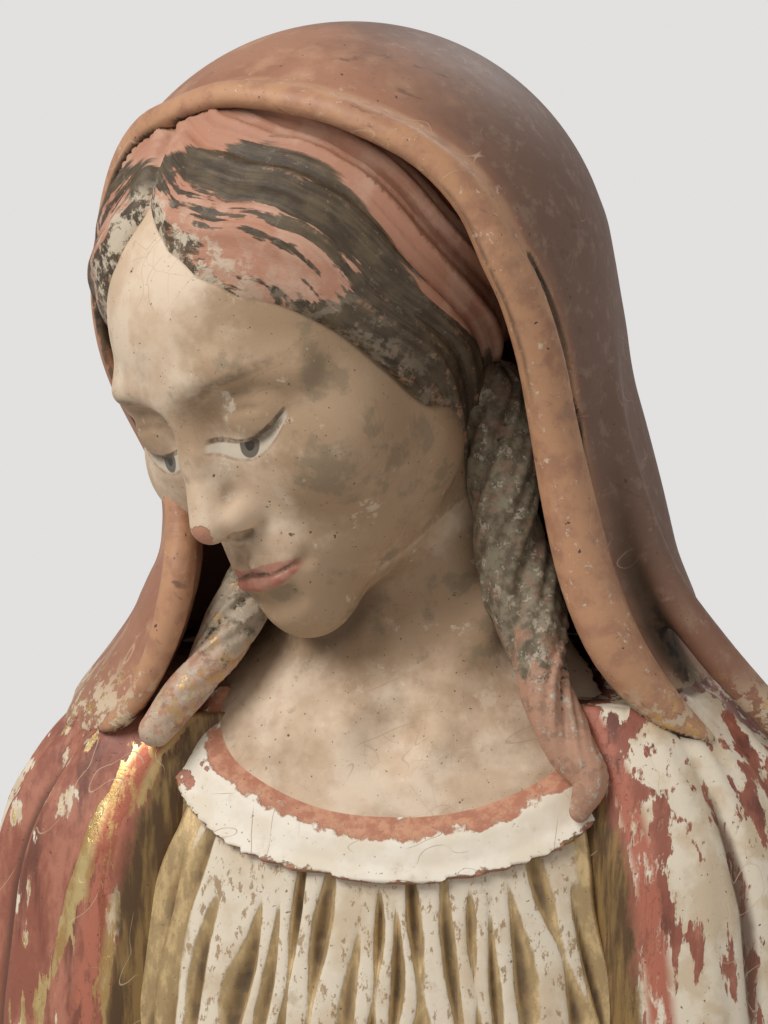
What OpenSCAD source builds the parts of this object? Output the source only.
// Standing Madonna in hollow pressed terracotta, about one metre tall, praying with bowed head.
// The figure is fired in sections, stacked on a moulded plinth and clamped by an iron rod inside.
// Front is -Y, +X is the figure's left, and the origin is the middle of the plinth's underside.

/* [Plinth] */
// Width of the plinth's foot
plinth_w = 272; // [260:2:290]
// Depth of the plinth's foot
plinth_d = 252; // [250:2:270]
// Height of the plinth
plinth_h = 60; // [50:2:70]
// Cut across each corner of the plinth
plinth_corner = 42; // [20:2:55]

/* [Walls] */
// Thickness of the pressed clay walls
wall = 11; // [9:1:13]
// Depth of the drapery folds
fold_depth = 3.2; // [1:0.2:4]
// Folds in one turn of the mantle
fold_count = 17; // [13:1:21]
// Open joint between two fired pieces, filled with gesso on the finished figure
joint_gap = 0.2; // [0.1:0.1:0.4]

/* [Head] */
// Height of the head from chin to crown
head_h = 116; // [112:1:120]
// How far the head bows forward
head_bow = 27; // [22:1:30]
// How far the head turns to the figure's right
head_turn = 32; // [26:1:36]
// How far the head leans over to the figure's right
head_lean = 14; // [8:1:16]

/* [Ironwork] */
// Diameter of the iron rod that holds the sections together
rod_d = 10; // [8:1:12]
// Diameter of the iron pins in wrists and section joints
pin_d = 5; // [4:1:6]

/* [Hidden] */
ring_points = 96;
plain_points = 48;
tiny = 0.01;
far = 500;

// Heights above the plinth
terrace_h = 26;
hem_z = terrace_h + joint_gap;
waist_z = 604;
joint_z = 380;
web_h = 9;
lower_web_z = joint_z - 40;
upper_web_z = 690;
mantle_top_z = 786;
girdle_h = 13;

// The mantle's outer face: height, half width, half depth
mantle_profile = [[24, 112, 92], [90, 106, 85], [200, 101, 80], [320, 99, 76], [440, 101, 75],
    [540, 107, 74], [590, 112, 73], [640, 111, 71], [700, 108, 67], [740, 102, 61], [762, 94, 55],
    [776, 83, 48], [786, 66, 42]];
// The tunic's outer face, and above it the chest and neck
tunic_profile = [[24, 100, 90], [90, 93, 82], [200, 89, 76], [320, 87, 70], [440, 90, 68],
    [540, 88, 65], [604, 80, 56], [660, 84, 60], [700, 86, 58], [740, 82, 52], [760, 72, 45],
    [775, 56, 38], [788, 38, 31], [800, 27, 26], [820, 23, 24], [850, 22, 24], [866, 18, 20]];
// The neck leans forward: height, offset to the front
lean_profile = [[760, 0], [800, 2], [850, 5]];

// The veil's skirt below the hood: height, half width, half depth, centre x, centre y
veil_profile = [[752, 97, 63, -4, 5], [771, 88, 59, -4, 4], [790, 72, 55, -3, 3], [808, 63, 54, -2, 2],
    [825, 60, 53, -3, 0], [845, 57, 52, -5, -2], [868, 53, 51, -8, -5]];
// The hood is round: its centre and radius
hood_centre = [-15, -12, 875];
hood_r = 63;
veil_thickness = 7;

// The neckline lies in a plane that rises from the chest to the nape
neck_plane_y = -50;
neck_plane_z = 743;
neck_plane_tilt = 40;
band_w = 10;
band_t = 2.5;

// The mantle's two front edges, as angles from the front
edge_angle_top = 46;
front_edges = [-edge_angle_top, edge_angle_top];
head_centre = [-22, -20, 865];
skull_r = head_h * 0.36;
hair_t = 8;

// The joined hands: their middle, and each wrist's place beside it
hands_x = 4;
wrist_apart = 9;
wrist_y = -84;
wrist_z = 622;
palm_in = 4;
hand_tilt = 24;
hand_l = 84;

// The iron rod, its pins, and the two shoes
rod_bottom_z = -14;
rod_top_z = 845;
pin_l = 36;
pin_angles = [126, 161, 199, 234];
shoe_x = 32;

// Each lock hangs from behind the ear to the end of the neckline: x, y, z, radius
left_lock = [[20, -16, 842, 8], [24, -22, 820, 8], [30, -29, 798, 7], [40, -36, 779, 6], [45, -40, 762, 5]];
right_lock = [[-34, -24, 806, 6], [-42, -31, 795, 7], [-49, -36, 785, 6], [-54, -40, 774, 5]];

function fold(t, z) =
    fold_depth * (0.6 * cos(fold_count * t + 0.12 * z) + 0.4 * cos((fold_count - 4) * t - 0.2 * z))
    * min(1, (mantle_top_z - z) / 120);
function oval(t, a, b) = pow(pow(abs(sin(t)) / a, 2.2) + pow(abs(cos(t)) / b, 2.2), -1 / 2.2);
function oval_ring(z, a, b, cx, cy, folds, count) = [
    for (i = [0:count - 1])
        let (t = 360 * i / count, r = oval(t, a, b) + folds * fold(t, z))
            [cx + r * sin(t), cy - r * cos(t), z]];
function half_widths(profile) = [for (row = profile) [row[0], row[1]]];
function half_depths(profile) = [for (row = profile) [row[0], row[2]]];
function lean(z) = lookup(z, lean_profile);
function body_ring(profile, z, grow, folds, count) = oval_ring(
    z, lookup(z, half_widths(profile)) + grow, lookup(z, half_depths(profile)) + grow, 0, -lean(z),
    folds, count);

// A wall seen from above: its outer face from one angle to the other, then its inner face back again
function wall_ring(profile, z, outer, inner, folds, from, to, count) =
    let (a = lookup(z, half_widths(profile)), b = lookup(z, half_depths(profile)),
        angles = [for (i = [0:count]) from + (to - from) * i / count])
    concat(
        [for (t = angles) let (r = oval(t, a + outer, b + outer) + folds * fold(t, z))
            [r * sin(t), -r * cos(t), z]],
        [for (i = [count:-1:0]) let (t = angles[i], r = oval(t, a + inner, b + inner))
            [r * sin(t), -r * cos(t), z]]);
function heights(from, to, step) = [for (i = [0:ceil((to - from) / step)]) min(to, from + i * step)];

// A closed solid through a stack of level rings, with its end faces given as lists of point numbers
module loft(rings, ends = undef) {
    n = len(rings[0]);
    m = len(rings);
    caps = is_undef(ends) ? [[for (i = [0:n - 1]) i]] : ends;
    polyhedron(
        points = [for (r = rings) each r],
        faces = concat(
            caps,
            [for (j = [0:m - 2], i = [0:n - 1])
                let (a = j * n + i, b = j * n + (i + 1) % n) each [[a, a + n, b + n], [a, b + n, b]]],
            [for (cap = caps) [for (i = [len(cap) - 1:-1:0]) (m - 1) * n + cap[i]]]));
}

module body_solid(profile, from, to, grow = 0, folds = 0, count = plain_points, step = 30)
    loft([for (z = heights(from, to, step)) body_ring(profile, z, grow, folds, count)]);

module wall_shell(profile, from, to, edges, outer = 0, inner = -wall, folds = 1, count = 48, step = 60)
    loft([for (z = heights(from, to, step))
            wall_ring(profile, z, outer, inner, folds, edges[0], edges[1], count)],
        [for (i = [0:count - 1]) [i, i + 1, 2 * count - i, 2 * count + 1 - i]]);

module cavity(profile, from, to) body_solid(profile, from, to, grow = -wall, step = 60);

// A wedge seen from above, between two angles from the front
module wedge(from, to, z_from = -tiny, z_to = 900)
    translate([0, 0, z_from]) linear_extrude(z_to - z_from)
        polygon(concat([[0, 0]], [for (i = [0:4]) let (t = from + (to - from) * i / 4)
            far * [sin(t), -cos(t)]]));

// Everything under the sloping plane of the neckline, raised by some amount
module under_neckline(raise = 0)
    translate([0, neck_plane_y, neck_plane_z]) rotate([neck_plane_tilt, 0, 0])
        translate([-far, -far, raise - 2 * far]) cube([2 * far, 2 * far, 2 * far]);

module rod_hole(r = rod_d / 2 + 1) translate([0, 0, -60]) cylinder(h = 950, r = r, $fn = 48);

module octagon(w, d, corner) polygon([
    for (q = [[1, 1, 0], [-1, 1, 1], [-1, -1, 0], [1, -1, 1]])
        each let (a = [q[0] * w / 2, q[1] * (d / 2 - corner)], b = [q[0] * (w / 2 - corner), q[1] * d / 2])
            q[2] == 0 ? [a, b] : [b, a]]);

// ---- Plinth and ground ----

module plinth() color("indianred") difference() {
    union() {
        plinth_slab(0, 13, 0);
        plinth_slab(13, 19, 4);
        plinth_slab(19, plinth_h - 16, 11);
        plinth_slab(plinth_h - 16, plinth_h - 11, 6);
        plinth_slab(plinth_h - 11, plinth_h, 3);
    }
    translate([0, 0, -tiny]) linear_extrude(plinth_h - 14)
        octagon(plinth_w - 22 - 2 * wall, plinth_d - 22 - 2 * wall, plinth_corner - wall / 2);
    rod_hole();
}

module plinth_slab(from, to, inset) translate([0, 0, from]) linear_extrude(to - from)
    octagon(plinth_w - 2 * inset, plinth_d - 2 * inset, plinth_corner - inset * 0.6);

module figure() translate([0, 0, plinth_h]) children();

module terrace() color("rosybrown") figure() difference() {
    loft([oval_ring(0, 118, 101, 0, 0, 0, plain_points), oval_ring(12, 119, 102, 0, 0, 0, plain_points),
        oval_ring(21, 115, 98, 0, 0, 0, plain_points), oval_ring(terrace_h, 109, 92, 0, 0, 0, plain_points)]);
    rod_hole();
}

module shoe(side) color("wheat") figure() difference() {
    translate([side * shoe_x, -88, terrace_h + joint_gap]) rotate([0, 0, side * 14]) hull() {
        translate([0, -6, 6]) sphere(r = 6, $fn = 24);
        translate([0, 12, 8]) sphere(r = 8, $fn = 24);
        translate([0, -6, 0]) cylinder(h = 2, r = 6, $fn = 24);
        translate([0, 12, 0]) cylinder(h = 2, r = 8, $fn = 24);
    }
    body_solid(tunic_profile, 20, 60, grow = fold_depth + joint_gap);
}

module shoe_left() shoe(1);
module shoe_right() shoe(-1);

// ---- Tunic ----

module tunic_skirt() color("cornsilk") figure()
    wall_shell(tunic_profile, hem_z, waist_z, front_edges, count = 36);

module tunic_bodice() color("ivory") figure() intersection() {
    difference() {
        body_solid(tunic_profile, waist_z + joint_gap, 788, count = ring_points, step = 12);
        cavity(tunic_profile, waist_z - 1, 789);
    }
    under_neckline(band_w - joint_gap);
    union() {
        wedge(-edge_angle_top, edge_angle_top);
        inside_mantle();
    }
}

// The room inside the mantle's own walls, open above the shoulders
module inside_mantle()
    body_solid(mantle_profile, 700, mantle_top_z + 14, grow = -wall - joint_gap, step = 14);

module neckline_band() color("white") figure() intersection() {
    difference() {
        body_solid(tunic_profile, 700, 800, grow = band_t, count = ring_points, step = 8);
        body_solid(tunic_profile, 699, 801, grow = joint_gap, count = ring_points, step = 8);
        under_neckline(0);
    }
    under_neckline(band_w);
    union() {
        wedge(-edge_angle_top, edge_angle_top);
        inside_mantle();
    }
}

module girdle() color("goldenrod") figure() wall_shell(tunic_profile, waist_z - girdle_h / 2,
    waist_z + girdle_h / 2, 0.97 * front_edges, outer = 8, inner = 3.6, folds = 0, count = 24, step = girdle_h / 2);

module girdle_tails() color("goldenrod") figure() for (side = [-1, 1]) hull() {
    translate([side * 4, -68, waist_z - girdle_h / 2 - 6]) sphere(r = 4.5, $fn = 20);
    translate([side * 9, -79, waist_z - 150]) sphere(r = 6, $fn = 20);
}

// ---- Mantle ----

module mantle_front(side) color("firebrick") figure() {
    gap_angle = 0.15;
    edges = side > 0 ? [edge_angle_top + gap_angle, 100 - gap_angle]
        : [-100 + gap_angle, -edge_angle_top - gap_angle];
    difference() {
        wall_shell(mantle_profile, hem_z, mantle_top_z, edges, count = 18);
        sleeve_room();
    }
}

module mantle_front_left() mantle_front(1);
module mantle_front_right() mantle_front(-1);

module mantle_back(from, to) color("brown") figure() difference() {
    wall_shell(mantle_profile, from, to, [100, 260], count = 48);
    section_pin_holes();
}

module mantle_back_lower() mantle_back(hem_z, joint_z);
module mantle_back_upper() mantle_back(joint_z + joint_gap, mantle_top_z);

module at_section_pins() for (t = pin_angles) {
    r = oval(t, lookup(joint_z, half_widths(mantle_profile)), lookup(joint_z, half_depths(mantle_profile)));
    translate([(r - wall * 0.62) * sin(t), -(r - wall * 0.62) * cos(t), joint_z - pin_l / 2]) children();
}

module section_pin_holes() at_section_pins()
    translate([0, 0, -1]) cylinder(h = pin_l + 2, r = pin_d / 2 + joint_gap, $fn = 32);

module section_pins() color("dimgray") figure() at_section_pins()
    cylinder(h = pin_l, r = pin_d / 2, $fn = 32);

module web(z) color("peru") figure() difference() {
    body_solid(tunic_profile, z, z + web_h, grow = -wall - joint_gap, step = web_h);
    rod_hole();
}

module lower_web() web(lower_web_z);
module upper_web() web(upper_web_z);

// ---- Arms ----

function mirrored(p, side) = [side * p[0], p[1], p[2]];

module at_wrist(side) translate([hands_x + side * wrist_apart, wrist_y, wrist_z])
    rotate([hand_tilt, 0, 0]) children();

module sleeve_shape(side, grow) hull() {
    translate(mirrored([56, -46, 598], side)) sphere(r = 21 + grow, $fn = 28);
    translate(mirrored([19, -78, 612], side)) sphere(r = 13.5 + grow, $fn = 28);
    translate(mirrored([26, -74, 584], side)) sphere(r = 10 + grow, $fn = 28);
    translate(mirrored([54, -52, 560], side)) sphere(r = 10 + grow, $fn = 28);
}

module sleeve_room() for (side = [-1, 1]) sleeve_shape(side, joint_gap);

module sleeve(side) color("linen") figure() difference() {
    sleeve_shape(side, 0);
    body_solid(tunic_profile, 500, 700, grow = 8 + joint_gap, step = 25);
    at_wrist(side) translate([0, 0, -16]) cylinder(h = 40, r = pin_d / 2 + joint_gap, $fn = 32);
    at_wrist(side) cylinder(h = 60, r = 30, $fn = 32);
    translate([side > 0 ? hands_x - far + joint_gap : hands_x - joint_gap, -far, 0]) cube([far, 2 * far, 900]);
}

module sleeve_left() sleeve(1);
module sleeve_right() sleeve(-1);

module hand() difference() {
    union() {
        hull() {
            translate([0, 0, joint_gap]) cylinder(h = 6, r = 7.5, $fn = 32);
            translate([-palm_in, -12, 40]) sphere(r = 5, $fn = 20);
            translate([-palm_in, 11, 36]) sphere(r = 5, $fn = 20);
        }
        hull() {
            translate([-palm_in, -9, 42]) sphere(r = 5, $fn = 20);
            translate([-palm_in, 9, 42]) sphere(r = 5, $fn = 20);
            translate([-palm_in, -6, hand_l - 8]) sphere(r = 4, $fn = 20);
            translate([-palm_in, 3, hand_l - 4]) sphere(r = 4, $fn = 20);
        }
        hull() {
            translate([-palm_in, 10, 24]) sphere(r = 6, $fn = 20);
            translate([-palm_in, 17, 50]) sphere(r = 4, $fn = 20);
        }
    }
    translate([0, 0, -1]) cylinder(h = 21, r = pin_d / 2 + joint_gap, $fn = 32);
    translate([-far - wrist_apart + joint_gap, -far / 2, -far / 2]) cube([far, far, far]);
}

module hand_left() color("bisque") figure() at_wrist(1) hand();
module hand_right() color("bisque") figure() at_wrist(-1) mirror([1, 0, 0]) hand();

module wrist_pins() color("dimgray") figure() for (side = [-1, 1])
    at_wrist(side) translate([0, 0, -15]) cylinder(h = 34, r = pin_d / 2, $fn = 32);

// ---- Head ----

module at_head() translate(head_centre) rotate([head_bow, 0, -head_turn])
    rotate([0, -head_lean, 0]) children();

module skull(grow = 0) at_head() hull() {
    translate([0, 8, head_h / 2 - skull_r]) sphere(r = skull_r + grow, $fn = 32);
    translate([0, -8, head_h / 2 - skull_r - 4]) sphere(r = skull_r - 4 + grow, $fn = 32);
    translate([0, -20, -head_h * 0.2]) sphere(r = head_h * 0.24 + grow, $fn = 32);
    translate([0, -36, -head_h / 2 + 13]) sphere(r = 13 + grow, $fn = 32);
}

module nose() at_head() hull() {
    translate([0, -48, 4]) sphere(r = 5, $fn = 16);
    translate([0, -57, -20]) sphere(r = 6, $fn = 16);
}

module neck_and_chest(grow = 0) body_solid(tunic_profile, 735, 866, grow = grow, step = 8);

module head() color("burlywood") figure() difference() {
    union() {
        skull();
        nose();
        difference() {
            neck_and_chest();
            under_neckline(band_w);
        }
    }
    translate([0, 0, 700]) cylinder(h = 182, r = rod_d / 2 + joint_gap, $fn = 48);
    translate([-14, -9, 858]) cylinder(h = 42, r = 19, $fn = 48);
}

module hair_mass(grow = 0) at_head() hull() {
    translate([0, 8, head_h / 2 - skull_r]) sphere(r = skull_r + hair_t + grow, $fn = 32);
    translate([0, -8, head_h / 2 - skull_r - 2]) sphere(r = skull_r - 4 + hair_t + grow, $fn = 32);
    translate([0, -6, -8]) sphere(r = skull_r - 2 + grow, $fn = 32);
}

module hair() color("saddlebrown") figure() difference() {
    hair_mass();
    skull(joint_gap);
    at_head() translate([-40, -90, -60]) cube([80, 60, 96]);
    at_head() translate([-80, -90, -90]) cube([160, 160, 68]);
    neck_and_chest(joint_gap);
}

module lock(points) for (i = [0:len(points) - 2]) hull() {
    lock_bead(points[i]);
    lock_bead(points[i + 1]);
}

module lock_bead(p) translate([p[0], p[1], p[2]]) sphere(r = p[3], $fn = 20);

module lock_left() color("olivedrab") figure() difference() {
    lock(left_lock);
    skull(joint_gap);
    hair_mass(joint_gap);
    neck_and_chest(band_t + joint_gap);
    body_solid(mantle_profile, 700, mantle_top_z, grow = joint_gap);
}

module lock_right() color("olivedrab") figure() difference() {
    lock(right_lock);
    skull(joint_gap);
    hair_mass(joint_gap);
    neck_and_chest(band_t + joint_gap);
    body_solid(mantle_profile, 700, mantle_top_z, grow = joint_gap);
}

// ---- Veil ----

module veil_solid(grow) {
    loft([for (p = veil_profile)
        oval_ring(p[0], p[1] + grow, p[2] + grow, p[3], p[4], 0, plain_points)]);
    translate(hood_centre) sphere(r = hood_r + grow, $fn = 40);
}

// The opening for the face: wide over the chest, and set back behind the parted hair
module face_opening() hull() {
    translate([-2, -70, 752]) rotate([90, 0, 0]) cylinder(h = 90, r = 44, center = true, $fn = 32);
    at_head() translate([-58, -140, -30]) cube([116, 112, 120]);
}

module veil() color("salmon") figure() difference() {
    veil_solid(0);
    intersection() {
        veil_solid(-veil_thickness);
        translate([-far, -far, 700]) cube([2 * far, 2 * far, 240]);
    }
    neck_and_chest(14);
    hair_mass(joint_gap);
    skull(joint_gap);
    face_opening();
    body_solid(mantle_profile, 700, mantle_top_z, grow = joint_gap, step = 14);
    lock_room();
}

module lock_room() {
    translate([0, 0, -joint_gap]) lock([for (p = left_lock) [p[0], p[1], p[2], p[3] + joint_gap]]);
    translate([0, 0, -joint_gap]) lock([for (p = right_lock) [p[0], p[1], p[2], p[3] + joint_gap]]);
}

// ---- Ironwork ----

module tie_rod() color("gray") figure()
    translate([0, 0, rod_bottom_z - 14]) cylinder(h = rod_top_z - rod_bottom_z + 10, r = rod_d / 2, $fn = 48);

module plate(z, r) color("slategray") figure() translate([0, 0, z]) difference() {
    cylinder(h = 4, r = r, $fn = 64);
    translate([0, 0, -1]) cylinder(h = 6, r = rod_d / 2 + joint_gap, $fn = 48);
}

module nut(z) color("darkslategray") figure() translate([0, 0, z]) difference() {
    cylinder(h = 8, r = 10, $fn = 6);
    translate([0, 0, -1]) cylinder(h = 10, r = rod_d / 2 + joint_gap / 4, $fn = 48);
}

module base_plate() plate(rod_bottom_z - 4, 34);
module base_nut() nut(rod_bottom_z - 12);
module top_plate() plate(upper_web_z + web_h, 26);
module top_nut() nut(upper_web_z + web_h + 4);

plinth();
terrace();
shoe_left();
shoe_right();
tunic_skirt();
tunic_bodice();
neckline_band();
girdle();
girdle_tails();
mantle_front_left();
mantle_front_right();
mantle_back_lower();
mantle_back_upper();
lower_web();
upper_web();
sleeve_left();
sleeve_right();
hand_left();
hand_right();
wrist_pins();
section_pins();
head();
hair();
lock_left();
lock_right();
veil();
tie_rod();
base_plate();
base_nut();
top_plate();
top_nut();
